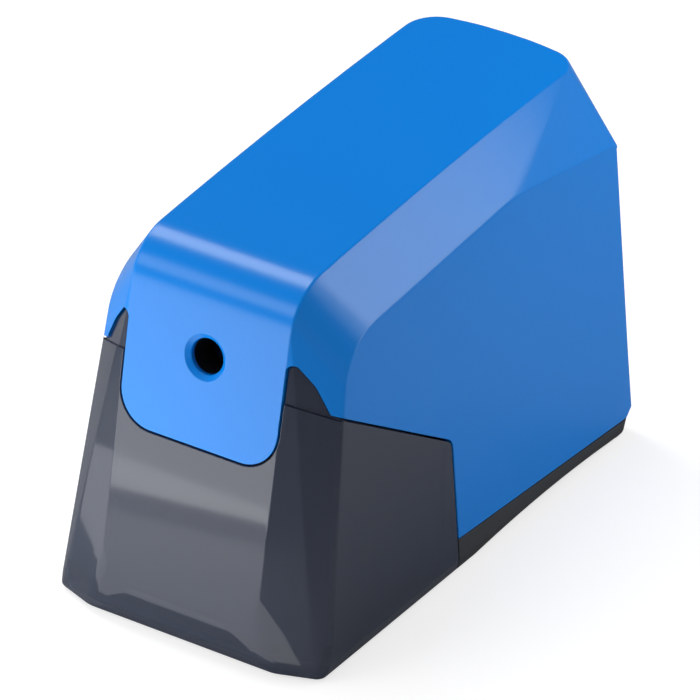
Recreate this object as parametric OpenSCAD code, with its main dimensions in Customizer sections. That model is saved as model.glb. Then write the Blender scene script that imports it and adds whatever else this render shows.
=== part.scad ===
// Compact electric desktop pencil sharpener.
// X runs across, the pencil goes in at -Y, +Z is up and Z = 0 is the underside of the feet.
// The drive (guide, cutter head, gears, motor) is square to the leaning front face.

/* [Body] */
// Width of the body at the table
body_w = 75; // [70:1:84]
// Length from the front face's foot to the rear face
body_len = 140; // [136:1:156]
// Height of the crown at the rear
body_h = 98.6; // [96:1:112]
// Height of the crown just behind the front bend
crown_front_h = 92.5; // [90:0.5:96]
// Lean of the front face from upright, in degrees
front_lean = 11.6; // [9:0.2:13]
// Inward lean of the side walls, in degrees
side_draft = 3.87; // [3:0.1:4.6]
// Width of the crown strip that runs over the top and down the front
crown_w = 43.8; // [38:0.5:48]
// Radius of the crown's front bend
crown_bend_r = 14; // [8:1:20]
// How far the crown's line rises above a straight one
crown_rise = 1.2; // [0:0.1:3]
// Radius of the crown's rear corners, seen from above
crown_corner_r = 8; // [4:1:12]
// How far the crown's rear edge bows out in the middle
rear_bow = 3.4; // [1:0.2:4]
// Radius between the crown and the rear face
crown_rear_r = 2.5; // [2:0.5:8]
// Height of the shoulder edge at the front corner
shoulder_front_h = 79.9; // [78:0.5:83]
// Height of the shoulder edge at its highest point
shoulder_top_h = 85.4; // [84:0.5:88]
// Height of the shoulder edge at the rear
shoulder_rear_h = 78.7; // [70:0.5:82]
// Distance of the shoulder's front line behind the front face
shoulder_setback = 8.6; // [6:0.2:11]
// Radius of the shoulder's front corner
shoulder_bend_r = 15; // [10:1:20]
// Height of the lower edge of the flat front facet
facet_foot_h = 9.8; // [7:0.2:12]
// Radius of the lower corners of the front facet
facet_corner_r = 9; // [5:0.5:12]
// Radius of the upright corners at the foot of the body
foot_corner_r = 9; // [7:0.5:11]
// Height over which the foot of the front turns under
foot_turn = 2.2; // [1:0.2:3]
// Radius of the upright corners at the rear
rear_corner_r = 5; // [3:0.5:8]
// Thickness of the housing and bin walls
wall = 2.2; // [1.8:0.1:2.6]
// Width of the shut line round the bin
shut_line = 0.5; // [0.3:0.1:0.8]
// Clearance between parts that only pass each other
clearance = 0.3; // [0.25:0.05:0.45]

/* [Tongue and bin outline] */
// Height of the tongue's lower edge on the front
tongue_foot_h = 49.1; // [46:0.5:52]
// Radius of the tongue's lower corners
tongue_corner_r = 9.5; // [6:0.5:12]
// Height of the tips of the bin's ears
ear_tip_h = 77; // [74:0.5:79]
// Height where an ear meets the side of the bin
ear_root_h = 63.3; // [61:0.5:66]
// Height of the bin's side at its rear corner
bin_rear_h = 35.5; // [32:0.5:40]
// Depth of the bin, from the front face's foot to its rear edge
bin_depth = 61.5; // [60:0.5:64]
// Radius of the rear corner of the bin's side outline
bin_corner_r = 3; // [1:0.5:5]

/* [Base] */
// Height of the underside edge above the table
edge_lift = 0.8; // [0.4:0.1:1.6]
// Height of the seam between housing and base, at the bin
seam_front_h = 9.0; // [8.6:0.1:10]
// Drop of the seam for each millimetre towards the rear
seam_slope = 0.058; // [0.04:0.002:0.06]
// Height of the top of the base's floor plate
floor_top = 5.4; // [5.2:0.1:5.8]
// Thickness of the base's floor plate
floor_t = 2; // [1.6:0.1:2.4]
// Rise of the arch cut in the lower edge of the base
arch_rise = 2; // [1:0.1:2.2]
// Radius of a rubber foot
foot_r = 4.6; // [3.5:0.1:6]
// Radius of the cord gland's bore
cord_bore_r = 3; // [2:0.1:3.5]

/* [Pencil path] */
// Radius of the pencil bore
pencil_bore_r = 4.35; // [4.1:0.05:4.6]
// Radius of the rim of the mouth
mouth_rim_r = 5.75; // [5.2:0.05:6.5]
// Height of the middle of the mouth
mouth_h = 71.1; // [69:0.5:73]
// Half of the angle of the sharpened cone, in degrees
cone_half = 11.5; // [10.5:0.1:12]
// Radius of the largest pencil
pencil_r = 4; // [3.6:0.1:4]

/* [Cutter head] */
// Radius of the helical cutter over its blades
cutter_r = 6.5; // [6:0.1:6.6]
// Number of blades on the cutter
blades = 18; // [12:1:24]
// Depth of the grooves between the blades
groove_depth = 1.1; // [0.7:0.1:1.5]
// Helix angle of the blades, in degrees
helix = 32; // [15:1:40]
// Length of the cutter
cutter_len = 24.5; // [22:0.5:25]
// Radius of the cutter's axle
axle_r = 1.6; // [1.2:0.1:2]
// Gear module of the cutter pinion and its ring gear
ring_module = 0.8; // [0.78:0.01:0.82]
// Teeth of the fixed ring gear
ring_teeth = 42; // [41:1:43]
// Teeth of the cutter pinion
pinion_teeth = 14; // [13:1:15]
// Width of the cutter pinion
pinion_w = 2.6; // [2:0.1:2.8]
// Radius of the carrier's cage
cage_r = 15; // [14:0.1:15.2]
// Radius of the carrier's rear shaft
shaft_r = 4; // [3:0.1:4.5]

/* [Gear train and motor] */
// Gear module of the two reduction stages
gear_module = 0.7; // [0.66:0.01:0.72]
// Teeth of the gear on the carrier
drive_teeth = 56; // [52:2:58]
// Teeth of the idler's small gear
idler_pinion_teeth = 14; // [12:1:15]
// Teeth of the idler's large gear
idler_teeth = 42; // [36:1:44]
// Teeth of the motor pinion
motor_pinion_teeth = 12; // [11:1:13]
// Width of the drive gear
drive_gear_w = 4; // [3:0.1:4.2]
// Width of the idler's large gear
idler_gear_w = 3.5; // [3:0.1:3.8]
// Radius of the idler's pin
idler_pin_r = 1.5; // [1.2:0.1:2]
// Radius of the motor can
motor_r = 16; // [14:0.5:17]
// Length of the motor can
motor_len = 36; // [30:1:40]
// Radius of the motor shaft
motor_shaft_r = 1.15; // [1:0.05:1.5]
// Radial clearance of parts that turn in each other
running_fit = 0.05; // [0.03:0.01:0.09]
// Thickness taken off each gear tooth for backlash
backlash = 0.14; // [0.12:0.01:0.2]

/* [Hidden] */
$fn = 48;

// ---- places worked out from the sizes above ----
half_len = body_len / 2;
lean_run = tan(front_lean);
draft_run = tan(side_draft);
mouth = [0, front_y(mouth_h), mouth_h];
skin = 0.01;                        // thin slabs that only shape a hull
far = 200;                          // reaches past the body on every side

// Along the pencil axis, measured from the front face
guide_len = 8.2;
guide_end = wall + guide_len;
lever_t = 2.2;
frame_s = guide_end + lever_t + 2 * clearance;     // front of the frame's front plate
plate_t = 3;
bearing_len = 4;
cheek_s = frame_s + bearing_len;                   // front of the carrier's front cheek
cheek_t = 2;
pinion_s = cheek_s + 4;                            // middle of the cutter pinion
ring_w = 4.5;
ring_s = pinion_s - ring_w / 2;
pinion_off = ring_module * (ring_teeth - pinion_teeth) / 2;
cutter_gap = 0.5;
cutter_start = pinion_w / 2 + cutter_gap;          // along the cutter's own axis
cutter_end = cutter_start + cutter_len;
cone_s = pinion_s + (pinion_off - pencil_r - cutter_r / cos(cone_half)) / tan(cone_half);
pocket_r = cutter_r + 0.8;
sleeve_r = pencil_bore_r + 2.6;
carrier_bore_r = pencil_bore_r + 0.2;
cone_tip_r = 0.6;
front_bush_r = sleeve_r + 2;
rear_bush_r = shaft_r + 2.6;
motor_boss_r = 5;
axle_front = 3.8;
axle_back = cutter_end + 3.4;
rear_cheek_s = pinion_s + cutter_end * cos(cone_half) + 4;    // rear face of the rear cheek
rear_cheek_t = 4.6;
bulkhead_s = rear_cheek_s + 4.6;                   // front of the gear plate
gear_gap = 1;
drive_gear_s = bulkhead_s + plate_t + gear_gap;
idler_gear_s = drive_gear_s + drive_gear_w + gear_gap;
motor_plate_s = idler_gear_s + idler_gear_w + 1.5;
motor_plate_t = 2;
motor_s = motor_plate_s + motor_plate_t;
end_cap_len = 5;
terminal_reach = 2;                 // of the terminals past the end cap
shaft_end_s = drive_gear_s + drive_gear_w + 1.6;

// Across the pencil axis: [x, distance below the axis]
drive_r = gear_module * drive_teeth / 2;
idler_distance = gear_module * (drive_teeth + idler_pinion_teeth) / 2;
motor_distance = gear_module * (idler_teeth + motor_pinion_teeth) / 2;
idler_angle = 71;
motor_angle = -133.5;
idler_at = idler_distance * [cos(idler_angle), sin(idler_angle)];
motor_at = idler_at + motor_distance * [cos(motor_angle), sin(motor_angle)];
gear_plate_x = 25;
gear_plate_up = 25;                 // of the gear plate above the pencil axis
motor_plate_foot = 25.1;            // foot of the motor plate, seen from the mouth's height
motor_plate_down = mouth_h - motor_plate_foot;
standoff_r = 3;
standoffs = [for (x = [-1, 1], y = [5 - gear_plate_up, motor_plate_down - 4]) [x * (gear_plate_x - 3.5), y]];
motor_screw_off = 8;
motor_window = [9, 6];
screw_r = 1.25;
screw_head = [2.6, 1.8];            // radius and height
small_head = [2.4, 1.7];
board_head = [1.9, 1.3];
plate_screw_len = 9;
frame_screw_len = 6.6;
housing_screw_len = 13;
ring_wall = 3;
ring_outer_r = ring_module * (ring_teeth / 2 + 1.25) + ring_wall;
frame_outer_r = ring_outer_r + 1.6;
rail_t = 2.4;
lever_pivot = [10, -10];
lever_tip = [1.5, -4];
lever_tip_r = 1.2;
lever_arm = [16, -11];
lever_pin_r = 1.4;
lever_swing = 12;
switch_box = [13, 20, -11 + lever_tip_r + 6 * sin(lever_swing) + clearance + 1, 3];
switch_len = 6;
plunger_r = 1.5;
plunger_at = [-16, 30];
plunger_stroke = 2.4;
plunger_len = 11;
switch_side = 8;
// Where the middle of the gear plate comes down on the floor plate
gear_plate_foot_y = mouth[1] + (bulkhead_s + plate_t / 2) / cos(front_lean) - (mouth_h - floor_top) * lean_run;

// On the table
plate_w = body_w - 2 * wall - 2 * draft_run * edge_lift - 1.6;
plate_front = -half_len + wall + 1.2;
bin_rear = -half_len + bin_depth;
bin_floor = floor_top + clearance;
bin_back_gap = 0.8;
post_x = body_w / 2 - 8.1;
post_ys = [bin_rear + 12.5, half_len - 24];
post_r = 3.3;
post_rib = 8;
post_top = 34;
foot_x = body_w / 2 - 11;
foot_ys = [-half_len + 15, half_len - 12];
foot_chamfer = 0.6;
boss_wall = 1.6;
flange_hole_x = gear_plate_x - 9;
flange_hole_y = gear_plate_foot_y + 15.6;
flange_y = flange_hole_y + 5;
flange_t = 3;
gusset_h = 12;
gland_h = 15;                       // middle of the cord gland above the table
gland_r = cord_bore_r + 1.6;
gland_sink = 0.4;                   // of the gland behind the rear face, which leans and bows
collar_t = 1.6;
board_w = 34;
board_len = 26;
board_z = floor_top + 4;
board_y = half_len - 24;
board_t = 1.6;
board_screw_r = 1;
board_screw_depth = 4.4;
diode_r = 1.4;
diode_len = 6;
diode_pitch = 4.2;
lead_r = 0.45;
capacitor_r = 4;
capacitor_h = 10;
terminal_box = [10, 7, 8];
arch_r = (pow((half_len - bin_rear) / 2 - 4, 2) + pow(arch_rise, 2)) / (2 * arch_rise);

// ---- functions ----
// Front face of the crown at a height
function front_y(z) = -half_len + (z - facet_foot_h) * lean_run;
// Top line of the crown at t, from 0 at the front bend to 1 at the rear
function crown_point(t) = [
    front_y(crown_front_h) + t * (half_len - front_y(crown_front_h)),
    crown_front_h + t * (body_h - crown_front_h) + 4 * crown_rise * t * (1 - t)
];
function unit(v) = v / norm(v);
// Points of one rounded corner of an outline whose points are [a, b, radius]
function corner(p, c, n, steps) =
    let (
        u = unit([p[0] - c[0], p[1] - c[1]]),
        v = unit([n[0] - c[0], n[1] - c[1]]),
        half = acos(max(-1, min(1, u * v))) / 2,
        centre = [c[0], c[1]] + unit(u + v) * c[2] / sin(half),
        from = [c[0], c[1]] + u * c[2] / tan(half) - centre,
        to = [c[0], c[1]] + v * c[2] / tan(half) - centre,
        start = atan2(from[1], from[0]),
        turn = atan2(from[0] * to[1] - from[1] * to[0], from * to)
    )
    c[2] == 0 ? [[c[0], c[1]]] :
    [for (i = [0:steps]) centre + c[2] * [cos(start + turn * i / steps), sin(start + turn * i / steps)]];
function rounded(points, steps = 5) = [
    for (i = [0:len(points) - 1])
        each corner(points[(i + len(points) - 1) % len(points)], points[i],
                    points[(i + 1) % len(points)], steps)
];
// Involute helpers, in degrees
function involute(a) = tan(a) * 180 / PI - a;
function half_tooth(r, pitch_r, width) =
    let (base_r = pitch_r * cos(20), a = r > base_r ? acos(base_r / r) : 0)
    width / (2 * pitch_r) * 180 / PI + involute(20) - involute(a);
// Outline of a gear with its first tooth at angle 0
function gear_outline(teeth, module_mm, tip_r, root_r, width, steps = 3) =
    let (pitch_r = module_mm * teeth / 2)
    [for (k = [0:teeth - 1]) each concat(
        [for (i = [0:steps])
            let (r = root_r + (tip_r - root_r) * i / steps)
            polar(r, 360 * k / teeth - half_tooth(r, pitch_r, width))],
        [for (i = [steps:-1:0])
            let (r = root_r + (tip_r - root_r) * i / steps)
            polar(r, 360 * k / teeth + half_tooth(r, pitch_r, width))]
    )];
function polar(r, a) = r * [cos(a), sin(a)];

// ---- shared forms ----
// Places children on the pencil axis: +Z runs into the body and +Y points down
module on_pencil_axis(s = 0) translate(mouth) rotate([-90 - front_lean, 0, 0]) translate([0, 0, s]) children();
// Places children on the cutter's leaning axis, with Z = 0 at the middle of the pinion
module on_cutter_axis() on_pencil_axis(pinion_s) translate([0, pinion_off, 0]) rotate([cone_half, 0, 0]) children();
module across(h) rotate([90, 0, 90]) linear_extrude(h, center = true) children();
module ring(h, outer, inner) difference() {
    cylinder(h = h, r = outer);
    translate([0, 0, -1]) cylinder(h = h + 2, r = inner);
}
module plate(x0, x1, y0, y1, h, r) linear_extrude(h)
    polygon(rounded([[x0, y0, r], [x1, y0, r], [x1, y1, r], [x0, y1, r]], 4));
module gear(teeth, module_mm, h, turn = 0) rotate(turn) linear_extrude(h)
    polygon(gear_outline(teeth, module_mm, module_mm * (teeth / 2 + 0.9), module_mm * (teeth / 2 - 1.25),
                         PI * module_mm / 2 - backlash));
// Screw with a cross slot; head is [radius, height]
module screw(length, r, head) {
    cylinder(h = length, r = r);
    difference() {
        translate([0, 0, -head[1]]) cylinder(h = head[1], r = head[0]);
        for (a = [0, 90]) rotate(a) translate([-head[0] * 0.6, -0.3, -head[1] - 1])
            cube([head[0] * 1.2, 0.6, 1.8]);
    }
}

// Side outline of the crown strip, set in by t
module crown_side(t) offset(delta = -t) polygon(rounded(concat(
    [[front_y(facet_foot_h), facet_foot_h, 0], [front_y(crown_front_h), crown_front_h, crown_bend_r]],
    [for (i = [1:6]) concat(crown_point(i / 7), 0)],
    [[half_len, body_h, crown_rear_r], [half_len, edge_lift + 1.2, 0]]), 8));
// Side outline of the shoulder edge, set in by t
module shoulder_side(t) offset(delta = -t) polygon(rounded([
    [front_y(edge_lift) + shoulder_setback, edge_lift, 0],
    [front_y(shoulder_front_h) + shoulder_setback, shoulder_front_h, shoulder_bend_r],
    [half_len / 3, shoulder_top_h, 60],
    [half_len - 2.6, shoulder_rear_h, 1.5],
    [half_len - 1, edge_lift, 0]], 7));
// The closed outer form, or the form of the space inside walls of thickness t
module body_form(t = 0) {
    half_crown = crown_w / 2 - 0.4 * t;
    hull() {
        intersection() {
            across(far) crown_side(t);
            linear_extrude(far) polygon(rounded([
                [-half_crown, -far, 0], [half_crown, -far, 0],
                [half_crown, half_len - rear_bow - t, crown_corner_r],
                [0, half_len - t, 80],
                [-half_crown, half_len - rear_bow - t, crown_corner_r]], 8));
            rotate([90, 0, 0]) linear_extrude(2 * far, center = true) polygon(rounded([
                [-half_crown, facet_foot_h, facet_corner_r], [half_crown, facet_foot_h, facet_corner_r],
                [half_crown, far, 0], [-half_crown, far, 0]], 5));
        }
        for (side = [0, 1]) mirror([side, 0, 0])
            multmatrix([[1, 0, -draft_run, body_w / 2 - t - skin], [0, 1, 0, 0], [0, 0, 1, 0]])
                rotate([90, 0, 90]) linear_extrude(skin) intersection() {
                    shoulder_side(0.45 * t);
                    translate([-far, edge_lift + t + 5]) square(2 * far);
                }
        translate([0, 0, edge_lift + t + foot_turn]) foot_slab(t, foot_corner_r);
        translate([0, 0, edge_lift + t]) foot_slab(t + 0.4, foot_corner_r + 2 * foot_turn, foot_turn / 2);
    }
}
// Level outline of the body's foot, set in by t, with its front set back by a further step
module foot_slab(t, corner_r, step = 0) {
    half_w = body_w / 2 - t - draft_run * edge_lift;
    linear_extrude(skin) polygon(rounded([
        [-half_w, -half_len + 0.2 + t + step, max(corner_r - t, 1)],
        [half_w, -half_len + 0.2 + t + step, max(corner_r - t, 1)],
        [half_w, half_len - 1 - t, max(rear_corner_r - t, 1)],
        [0, half_len - t, 0],
        [-half_w, half_len - 1 - t, max(rear_corner_r - t, 1)]], 6));
}

// The space that the bin takes, grown by g: the front outline swept along Y, the side one along X
module bin_space(g = 0) intersection() {
    rotate([90, 0, 0]) linear_extrude(2 * far, center = true) offset(delta = g) bin_front();
    across(2 * body_w) offset(delta = g) bin_side();
}
module bin_front() {
    edge = crown_w / 2;
    outline = [
        [-body_w, -far, 0], [body_w, -far, 0], [body_w, ear_root_h - 0.42 * (body_w - edge - 8.7), 0],
        [edge + 8.7, ear_root_h, 0.6], [edge + 5.3, ear_root_h + 7, 14], [edge + 0.3, ear_tip_h, 0.9],
        [edge + 0.1, tongue_foot_h, tongue_corner_r], [-edge - 0.1, tongue_foot_h, tongue_corner_r],
        [-edge - 0.3, ear_tip_h, 0.9], [-edge - 5.3, ear_root_h + 7, 14], [-edge - 8.7, ear_root_h, 0.6],
        [-body_w, ear_root_h - 0.42 * (body_w - edge - 8.7), 0]
    ];
    polygon(rounded(outline, 5));
}
module bin_side() {
    crease_h = ear_root_h - 1.1;
    crease_y = front_y(crease_h) + shoulder_setback;
    polygon(rounded([
        [-far, -far, 0], [bin_rear + 0.7, -far, 0], [bin_rear, bin_rear_h, bin_corner_r],
        [crease_y, crease_h, 0], [crease_y, far, 0], [-far, far, 0]], 5));
}
// Side outline of everything below the seam, lowered by g
module below_seam(g = 0) polygon([
    [bin_rear + shut_line, -far], [far, -far],
    [far, seam_front_h - seam_slope * (far - bin_rear) - g], [bin_rear + shut_line, seam_front_h - g]]);
module post_places() for (x = [-post_x, post_x], y = post_ys) translate([x, y, 0]) children();
module foot_places() for (x = [-foot_x, foot_x], y = foot_ys) translate([x, y, 0]) children();
module flange_holes() for (x = [-flange_hole_x, flange_hole_x]) translate([x, flange_hole_y, 0]) children();
module board_holes() for (x = [-1, 1], y = [-1, 1])
    translate([x * (board_w / 2 - 3), board_y + y * (board_len / 2 - 3), 0]) children();

// ---- shell ----
// Boss under the floor plate
module boss(r) translate([0, 0, edge_lift + 0.6]) cylinder(h = floor_top - edge_lift - 1, r = r);

module base() color("#373a40") difference() {
    union() {
        difference() {
            intersection() {
                body_form();
                across(far) below_seam();
            }
            body_form(wall);
            translate([-plate_w / 2, bin_rear - 1, -1])
                cube([plate_w, half_len - wall - bin_rear, floor_top + 1]);
        }
        translate([0, 0, floor_top - floor_t])
            plate(-plate_w / 2, plate_w / 2, plate_front, half_len - wall - 1, floor_t, foot_corner_r);
        foot_places() boss(foot_r + boss_wall);
        post_places() boss(post_r + boss_wall);
        flange_holes() boss(screw_r + boss_wall);
        board_holes() translate([0, 0, floor_top - 1])
            cylinder(h = board_z - floor_top + 1, r = board_screw_r + boss_wall);
    }
    foot_places() translate([0, 0, -1]) cylinder(h = floor_top - floor_t + 1, r = foot_r);
    board_holes() translate([0, 0, board_z - board_screw_depth]) cylinder(h = far, r = board_screw_r);
    post_places() {
        translate([0, 0, -1]) cylinder(h = far, r = screw_r + 0.4);
        translate([0, 0, -1]) cylinder(h = floor_top - floor_t + 1, r = post_r);
    }
    flange_holes() translate([0, 0, -1]) cylinder(h = far, r = screw_r);
    for (y = [15:5:35], x = [-10, 10]) translate([x - 7, y - 1, 0]) cube([14, 2, far]);
    translate([0, (half_len + bin_rear) / 2, edge_lift + arch_rise - arch_r])
        rotate([0, 90, 0]) cylinder(h = far, r = arch_r, center = true);
}

module rubber_feet() color("#1c1c1e") foot_places() {
    cylinder(h = foot_chamfer, r1 = foot_r - foot_chamfer, r2 = foot_r);
    translate([0, 0, foot_chamfer]) cylinder(h = floor_top - floor_t - foot_chamfer, r = foot_r);
}

module housing() color("#0a77d8") difference() {
    union() {
        difference() {
            body_form();
            body_form(wall);
            bin_space(shut_line);
            across(far) below_seam(-clearance);
        }
        intersection() {
            body_form(wall / 2);
            post_places() {
                translate([0, 0, floor_top]) cylinder(h = post_top - floor_top, r = post_r);
                for (x = [-post_rib, 0]) translate([x, -0.7, seam_front_h + 1])
                    cube([post_rib, 1.4, post_top - seam_front_h - 1]);
            }
            difference() {
                translate([-far / 2, bin_rear + shut_line, 0]) cube(far);
                translate([-post_x + post_r, -far, -1]) cube([2 * (post_x - post_r), 2 * far, far]);
            }
        }
    }
    post_places() translate([0, 0, floor_top - 1]) cylinder(h = 13, r = screw_r);
    on_pencil_axis(-1) cylinder(h = wall + 2, r = pencil_bore_r);
    on_pencil_axis(-skin)
        cylinder(h = mouth_rim_r - pencil_bore_r + skin, r1 = mouth_rim_r + skin, r2 = pencil_bore_r);
    translate([0, half_len - 5, gland_h]) rotate([-90, 0, 0]) cylinder(h = 10, r = gland_r);
}

module shavings_bin() color("#50555f") {
    difference() {
        intersection() {
            body_form();
            bin_space();
        }
        body_form(wall);
        translate([0, 0, -1]) plate(-plate_w / 2 - clearance, plate_w / 2 + clearance,
            plate_front - clearance, half_len, bin_floor + 1, foot_corner_r);
    }
    intersection() {
        body_form(wall / 2);
        bin_space();
        translate([-far / 2, -far, bin_floor]) cube([far, 2 * far, bin_rear_h - 1 - bin_floor]);
        union() {
            on_pencil_axis(bulkhead_s - bin_back_gap - wall)
                translate([-far / 2, -far / 2, 0]) cube([far, far, wall]);
            intersection() {
                translate([-far / 2, -far, bin_floor]) cube([far, 2 * far, wall]);
                on_pencil_axis(bulkhead_s - bin_back_gap - far)
                    translate([-far / 2, -far / 2, 0]) cube([far, far, far]);
            }
        }
    }
}

module pencil_guide() color("#1d1e21") on_pencil_axis(wall) {
    ring(2, pencil_bore_r + 5, pencil_bore_r);
    ring(guide_len, pencil_bore_r + 2.4, pencil_bore_r);
}

// ---- frame and bearings ----
module drive_frame() color("#d9d8d0") difference() {
    union() {
        on_pencil_axis(frame_s) {
            plate(-frame_outer_r - 1, frame_outer_r + 1, -19, frame_outer_r + 1, plate_t, 8);
            ring(ring_s + ring_w - frame_s, frame_outer_r, ring_outer_r);
            translate([lever_pivot[0], lever_pivot[1], -lever_t - 2 * clearance])
                cylinder(h = lever_t + 2 * clearance + 1, r = lever_pin_r);
        }
        on_pencil_axis(frame_s) for (side = [-1, 1])
            translate([side * (frame_outer_r - rail_t / 2 + 1.2) - rail_t / 2, -9, plate_t - 1])
                cube([rail_t, 18, bulkhead_s - frame_s - plate_t + 2]);
        difference() {
            on_pencil_axis(bulkhead_s) plate(-gear_plate_x, gear_plate_x, -gear_plate_up, mouth_h, plate_t, 5);
            translate([-far / 2, -far / 2, floor_top - far]) cube(far);
        }
        on_pencil_axis(bulkhead_s + plate_t / 2) for (p = standoffs) translate([p[0], p[1], 0])
            cylinder(h = motor_plate_s - bulkhead_s - plate_t / 2, r = standoff_r);
        translate([1 - gear_plate_x, gear_plate_foot_y, floor_top])
            cube([2 * gear_plate_x - 2, flange_y - gear_plate_foot_y, flange_t]);
        for (x = [-1, 1]) translate([x * (gear_plate_x - 3.5) - flange_t / 2, 0, floor_top]) rotate([90, 0, 90])
            linear_extrude(flange_t) polygon([[gear_plate_foot_y, 1], [flange_y - 2, 1], [flange_y - 2, flange_t],
                [gear_plate_foot_y + gusset_h * lean_run, gusset_h]]);
    }
    on_pencil_axis(frame_s - 1) cylinder(h = plate_t + 2, r = front_bush_r);
    on_pencil_axis(bulkhead_s - 1) cylinder(h = plate_t + 2, r = rear_bush_r);
    on_pencil_axis(bulkhead_s - 1) translate([idler_at[0], idler_at[1], 0])
        cylinder(h = plate_t + 2, r = idler_pin_r);
    on_pencil_axis(bulkhead_s - 1) translate([plunger_at[0], plunger_at[1], 0])
        cylinder(h = plate_t + 2, r = plunger_r + clearance);
    on_pencil_axis(motor_plate_s - 9) for (p = standoffs) translate([p[0], p[1], 0]) cylinder(h = 12, r = screw_r);
    flange_holes() translate([0, 0, 1]) cylinder(h = 20, r = screw_r + 0.35);
}

module ring_gear() color("#e9e6da") on_pencil_axis(ring_s) difference() {
    cylinder(h = ring_w, r = ring_outer_r);
    translate([0, 0, -1]) rotate(90) linear_extrude(ring_w + 2) polygon(gear_outline(ring_teeth, ring_module,
        ring_module * (ring_teeth / 2 + 1.25), ring_module * (ring_teeth / 2 - 0.9),
        PI * ring_module / 2 + backlash));
}

module front_bearing() color("#b08d57") on_pencil_axis(frame_s)
    ring(plate_t + 0.3, front_bush_r, sleeve_r + running_fit);

module rear_bearing() color("#b08d57") on_pencil_axis(bulkhead_s) {
    ring(plate_t + 0.4, rear_bush_r, shaft_r + running_fit);
    translate([0, 0, -1.4]) ring(1.4, rear_bush_r + 1.6, shaft_r + running_fit);
}

// ---- cutter head ----
module cutter_carrier() color("#b9bcc0") difference() {
    on_pencil_axis(frame_s + clearance) {
        cylinder(h = cheek_s - frame_s, r = sleeve_r);
        translate([0, 0, cheek_s - frame_s - clearance]) intersection() {
            cylinder(h = rear_cheek_s - cheek_s, r = cage_r);
            union() {
                translate([-cage_r, -cage_r, 0]) cube([2 * cage_r, cage_r + 2, rear_cheek_s - cheek_s]);
                cylinder(h = cheek_t, r = cage_r);
                translate([0, 0, rear_cheek_s - cheek_s - rear_cheek_t])
                    cylinder(h = rear_cheek_t, r = cage_r - 1.5);
            }
        }
        cylinder(h = shaft_end_s - frame_s - clearance, r = shaft_r);
    }
    on_pencil_axis() {
        rotate_extrude() polygon([[0, 0], [carrier_bore_r, 0], [carrier_bore_r, cone_s],
            [cone_tip_r, cone_s + (carrier_bore_r - cone_tip_r) / tan(cone_half)],
            [0, cone_s + (carrier_bore_r - cone_tip_r) / tan(cone_half)]]);
        for (side = [-1, 1]) translate([side * cage_r, -cage_r * 0.2, cheek_s + cheek_t + 3])
            cylinder(h = rear_cheek_s - cheek_s - rear_cheek_t - cheek_t - 6, r = 5);
    }
    on_cutter_axis() {
        translate([0, 0, -pinion_w / 2 - 0.4]) cylinder(h = cutter_end + pinion_w / 2 + 0.8, r = pocket_r);
        translate([0, 0, -axle_front]) cylinder(h = axle_front + axle_back, r = axle_r);
    }
}

module cutter_axle() color("#c9ccd0") on_cutter_axis()
    translate([0, 0, -axle_front]) cylinder(h = axle_front + axle_back, r = axle_r);

module helical_cutter() color("#8e9297") on_cutter_axis() translate([0, 0, cutter_start]) difference() {
    turn = cutter_len * tan(helix) / cutter_r * 180 / PI;
    pitch = 360 / blades;
    linear_extrude(cutter_len, twist = turn, slices = 14) polygon([
        for (k = [0:blades - 1]) each [
            polar(cutter_r, k * pitch), polar(cutter_r - 0.25, (k + 0.3) * pitch),
            polar(cutter_r - groove_depth, (k + 0.6) * pitch), polar(cutter_r - groove_depth * 0.8, (k + 0.9) * pitch)]
    ]);
    translate([0, 0, -1]) cylinder(h = cutter_len + 2, r = axle_r + running_fit);
}

module cutter_pinion() color("#a9adb2") on_cutter_axis() translate([0, 0, -pinion_w / 2]) difference() {
    union() {
        rotate(90) gear(pinion_teeth, ring_module, pinion_w);
        cylinder(h = pinion_w + cutter_gap, r = axle_r + 1.6);
    }
    translate([0, 0, -1]) cylinder(h = pinion_w + cutter_gap + 2, r = axle_r + running_fit);
}

// ---- gear train and motor ----
module drive_gear() color("#e9e6da") on_pencil_axis(drive_gear_s) difference() {
    union() {
        gear(drive_teeth, gear_module, drive_gear_w, idler_angle);
        translate([0, 0, -gear_gap + 0.4 + clearance]) cylinder(h = gear_gap, r = shaft_r + 2);
    }
    translate([0, 0, -gear_gap]) cylinder(h = drive_gear_w + 2, r = shaft_r);
    for (k = [0:5]) rotate(60 * k) translate([drive_r * 0.58, 0, -1]) cylinder(h = drive_gear_w + 2, r = drive_r * 0.19);
}

module shaft_clip() color("#3c3d40") on_pencil_axis(drive_gear_s + drive_gear_w) difference() {
    ring(0.8, shaft_r + 1.8, shaft_r);
    translate([0, -1.5, -1]) cube([far, 3, 3]);
}

module idler_gear() color("#e4dfcf") on_pencil_axis() translate([idler_at[0], idler_at[1], 0]) difference() {
    union() {
        translate([0, 0, drive_gear_s - 0.2]) gear(idler_pinion_teeth, gear_module,
            idler_gear_s - drive_gear_s + 1, idler_angle + 180 + 180 / idler_pinion_teeth);
        translate([0, 0, idler_gear_s]) gear(idler_teeth, gear_module, idler_gear_w, motor_angle);
        translate([0, 0, idler_gear_s]) cylinder(h = motor_plate_s - idler_gear_s - clearance, r = idler_pin_r + 2);
    }
    translate([0, 0, drive_gear_s - 1]) cylinder(h = 20, r = idler_pin_r + running_fit);
    for (k = [0:5]) rotate(60 * k) translate([idler_teeth * gear_module * 0.32, 0, idler_gear_s - 1])
        cylinder(h = idler_gear_w + 2, r = 2.4);
}

module idler_pin() color("#c9ccd0") on_pencil_axis(bulkhead_s)
    translate([idler_at[0], idler_at[1], 0]) cylinder(h = motor_s - bulkhead_s, r = idler_pin_r);

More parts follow.
